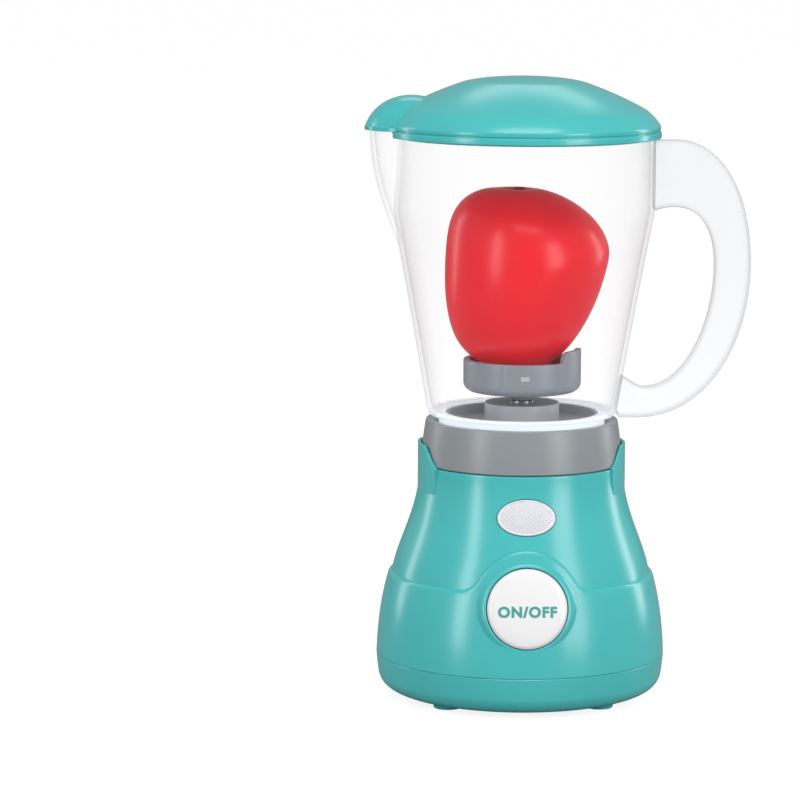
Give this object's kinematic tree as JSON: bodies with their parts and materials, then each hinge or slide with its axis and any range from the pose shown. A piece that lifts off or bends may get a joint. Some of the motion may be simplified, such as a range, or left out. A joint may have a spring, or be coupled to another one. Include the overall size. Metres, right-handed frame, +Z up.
{
  "type": "toy blender",
  "caption": "Battery toy blender: round base with a push button and lamp lens, lift-off clear jug with handle and spout, pouring lid, spinning blade wheel and a play pepper.",
  "frame": {"origin": "On the drive axis, in the plane that the moulded feet stand on.", "axes": "+Z up along the drive axis, -Y towards the button and the lamp, +X towards the handle, -X towards the spout."},
  "size_m": [0.1486, 0.1116, 0.2394],
  "materials": {
    "teal_plastic": "moulded, semi-gloss",
    "grey_plastic": "moulded, satin",
    "clear_plastic": "clear, polished",
    "white_plastic": "moulded, semi-gloss",
    "lens_plastic": "milky, semi-gloss",
    "red_plastic": "moulded, glossy",
    "natural_plastic": "natural, undyed",
    "dark_plastic": "moulded, matt",
    "board": "lacquered board",
    "wire_insulation": "soft sleeve",
    "steel": "zinc plated",
    "brass": "turned",
    "battery": "wrapped cell"
  },
  "bodies": {
    "base": {"base_plate": "teal_plastic", "lower_housing": "teal_plastic", "upper_housing": "teal_plastic", "jug_socket": "grey_plastic", "socket_screws": "steel", "housing_screws": "steel", "battery_door": "teal_plastic", "door_screw": "steel", "battery_cells": "battery", "battery_contacts": "steel", "battery_springs": "steel", "button_spring": "steel", "push_switch": "dark_plastic", "switch_bracket": "natural_plastic", "switch_screws": "steel", "lamp_lens": "lens_plastic", "led_lamp": "lens_plastic", "led_board": "board", "led_screws": "steel", "gearbox_plate": "natural_plastic", "gearbox_screws": "steel", "motor_can": "steel", "motor_end_cap": "natural_plastic", "motor_retainer": "natural_plastic", "motor_screws": "steel", "spindle_bush": "brass", "wiring": "wire_insulation"},
    "button": {"power_button": "white_plastic", "switch_plunger": "natural_plastic"},
    "rotor": {"motor_rotor": "steel", "motor_pinion": "natural_plastic"},
    "spindle": {"spindle": "steel", "spindle_gear": "natural_plastic", "drive_dog": "dark_plastic"},
    "jug": {"jug_body": "clear_plastic", "jug_handle": "clear_plastic", "blade_carrier": "grey_plastic", "wheel_bush": "brass", "thrust_washer": "steel"},
    "wheel": {"blade_wheel": "grey_plastic", "wheel_shaft": "steel", "driven_dog": "dark_plastic"},
    "pepper": {"play_pepper": "red_plastic", "pepper_stalk": "red_plastic"},
    "lid": {"lid": "teal_plastic"}
  },
  "joints": [
    {"name": "button_press", "type": "slide", "parent": "base", "child": "button", "axis": [0, 0.9816, -0.1908], "range_m": [0, 0.0025], "stiffness_N_per_m": 400, "springref_m": -0.002, "deforming": ["button_spring"]},
    {"name": "spindle_spin", "type": "hinge", "parent": "base", "child": "spindle", "pos_m": [0, 0, 0.085], "axis": [0, 0, 1], "continuous": true},
    {"name": "rotor_spin", "type": "hinge", "parent": "base", "child": "rotor", "pos_m": [0, 0.0169, 0.06], "axis": [0, 0, 1], "continuous": true},
    {"name": "jug_lift", "type": "slide", "parent": "base", "child": "jug", "axis": [0, 0, 1], "range_m": [0, 0.04]},
    {"name": "wheel_spin", "type": "hinge", "parent": "jug", "child": "wheel", "pos_m": [0, 0, 0.115], "axis": [0, 0, 1], "continuous": true},
    {"name": "pepper_hop", "type": "slide", "parent": "wheel", "child": "pepper", "axis": [0, 0, 1], "range_m": [0, 0.012]},
    {"name": "lid_lift", "type": "slide", "parent": "jug", "child": "lid", "axis": [0, 0, 1], "range_m": [0, 0.03]}
  ],
  "couplings": [
    {"joint": "rotor_spin", "follows": "spindle_spin", "ratio": -3},
    {"joint": "wheel_spin", "follows": "spindle_spin", "ratio": 1}
  ]
}
